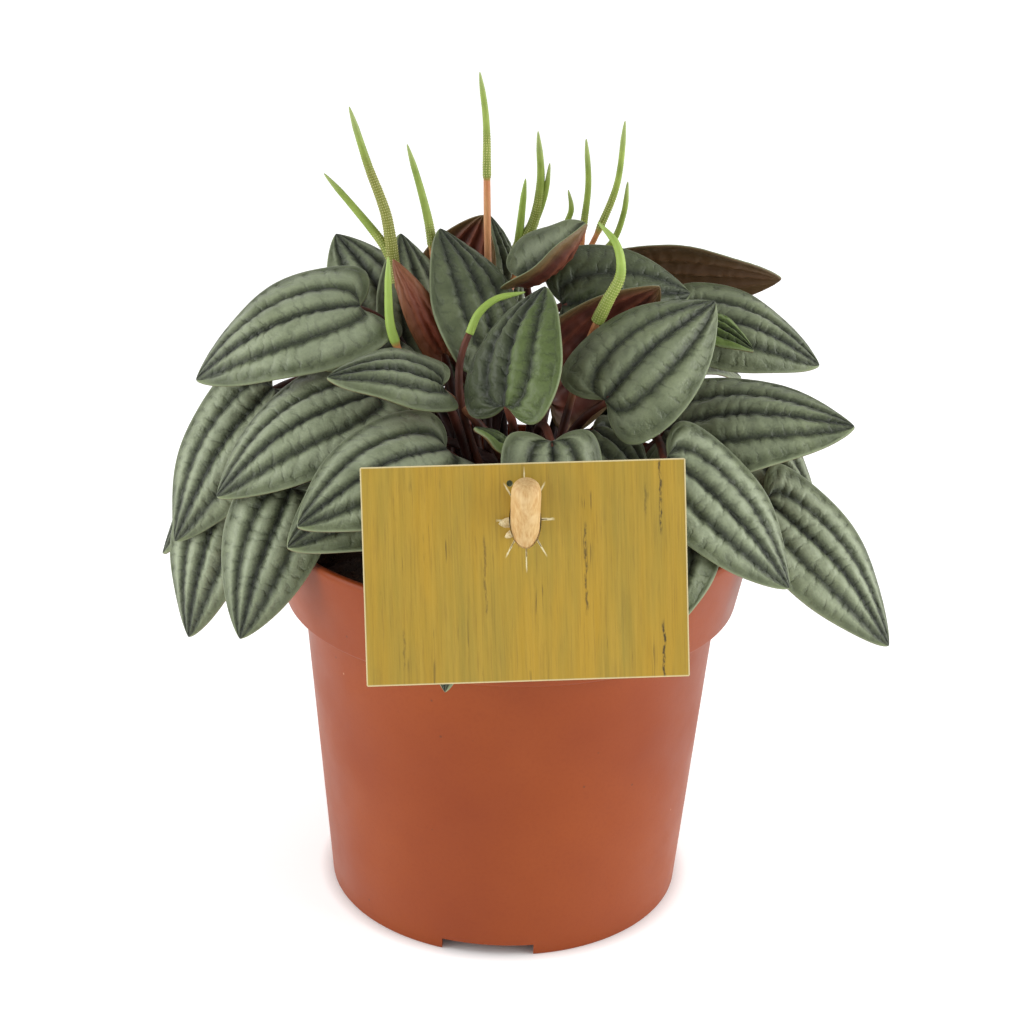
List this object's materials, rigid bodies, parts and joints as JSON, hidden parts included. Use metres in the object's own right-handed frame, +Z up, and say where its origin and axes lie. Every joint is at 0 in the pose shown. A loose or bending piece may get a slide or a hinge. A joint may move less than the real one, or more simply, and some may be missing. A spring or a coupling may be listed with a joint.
{
  "type": "potted peperomia",
  "caption": "Low mound of ribbed heart-shaped leaves with upright flower spikes, growing in a round tapered nursery pot, with a blank label card on a wooden stake.",
  "frame": {"origin": "on the pot's axis, at the level the pot stands on", "axes": "+Z up, -Y towards the side with the label card, +X to the right seen from that side"},
  "size_m": [0.1789, 0.1418, 0.2025],
  "materials": {
    "pot": "satin terracotta-coloured plastic",
    "soil": "dark crumbly potting soil",
    "stalk": "satin red stalks",
    "leaf": "grey-green quilted leaf, dark in the grooves",
    "flower_spike": "pale green spike with fine bumps",
    "card": "ochre card printed with wood grain",
    "stake": "plain pale wood"
  },
  "bodies": {
    "root": {"crown_and_stalks": "stalk", "flower_spike_1": "flower_spike", "flower_spike_2": "flower_spike", "flower_spike_3": "flower_spike", "flower_spike_4": "flower_spike", "flower_spike_5": "flower_spike", "flower_spike_6": "flower_spike", "flower_spike_7": "flower_spike", "flower_spike_8": "flower_spike", "label_card": "card", "label_stake": "stake", "leaf_01": "leaf", "leaf_02": "leaf", "leaf_03": "leaf", "leaf_04": "leaf", "leaf_05": "leaf", "leaf_06": "leaf", "leaf_07": "leaf", "leaf_08": "leaf", "leaf_09": "leaf", "leaf_10": "leaf", "leaf_11": "leaf", "leaf_12": "leaf", "leaf_13": "leaf", "leaf_14": "leaf", "leaf_15": "leaf", "leaf_16": "leaf", "leaf_17": "leaf", "leaf_18": "leaf", "leaf_19": "leaf", "leaf_20": "leaf", "leaf_21": "leaf", "leaf_22": "leaf", "leaf_23": "leaf", "leaf_24": "leaf", "leaf_25": "leaf", "leaf_26": "leaf", "leaf_27": "leaf", "leaf_28": "leaf", "leaf_29": "leaf", "leaf_30": "leaf", "leaf_31": "leaf", "leaf_32": "leaf", "leaf_33": "leaf", "leaf_34": "leaf", "leaf_35": "leaf", "leaf_36": "leaf", "leaf_37": "leaf", "leaf_38": "leaf", "leaf_39": "leaf", "leaf_40": "leaf", "leaf_41": "leaf", "leaf_42": "leaf", "leaf_43": "leaf", "leaf_44": "leaf", "leaf_45": "leaf", "leaf_46": "leaf", "pot": "pot", "soil": "soil"}
  },
  "joints": []
}
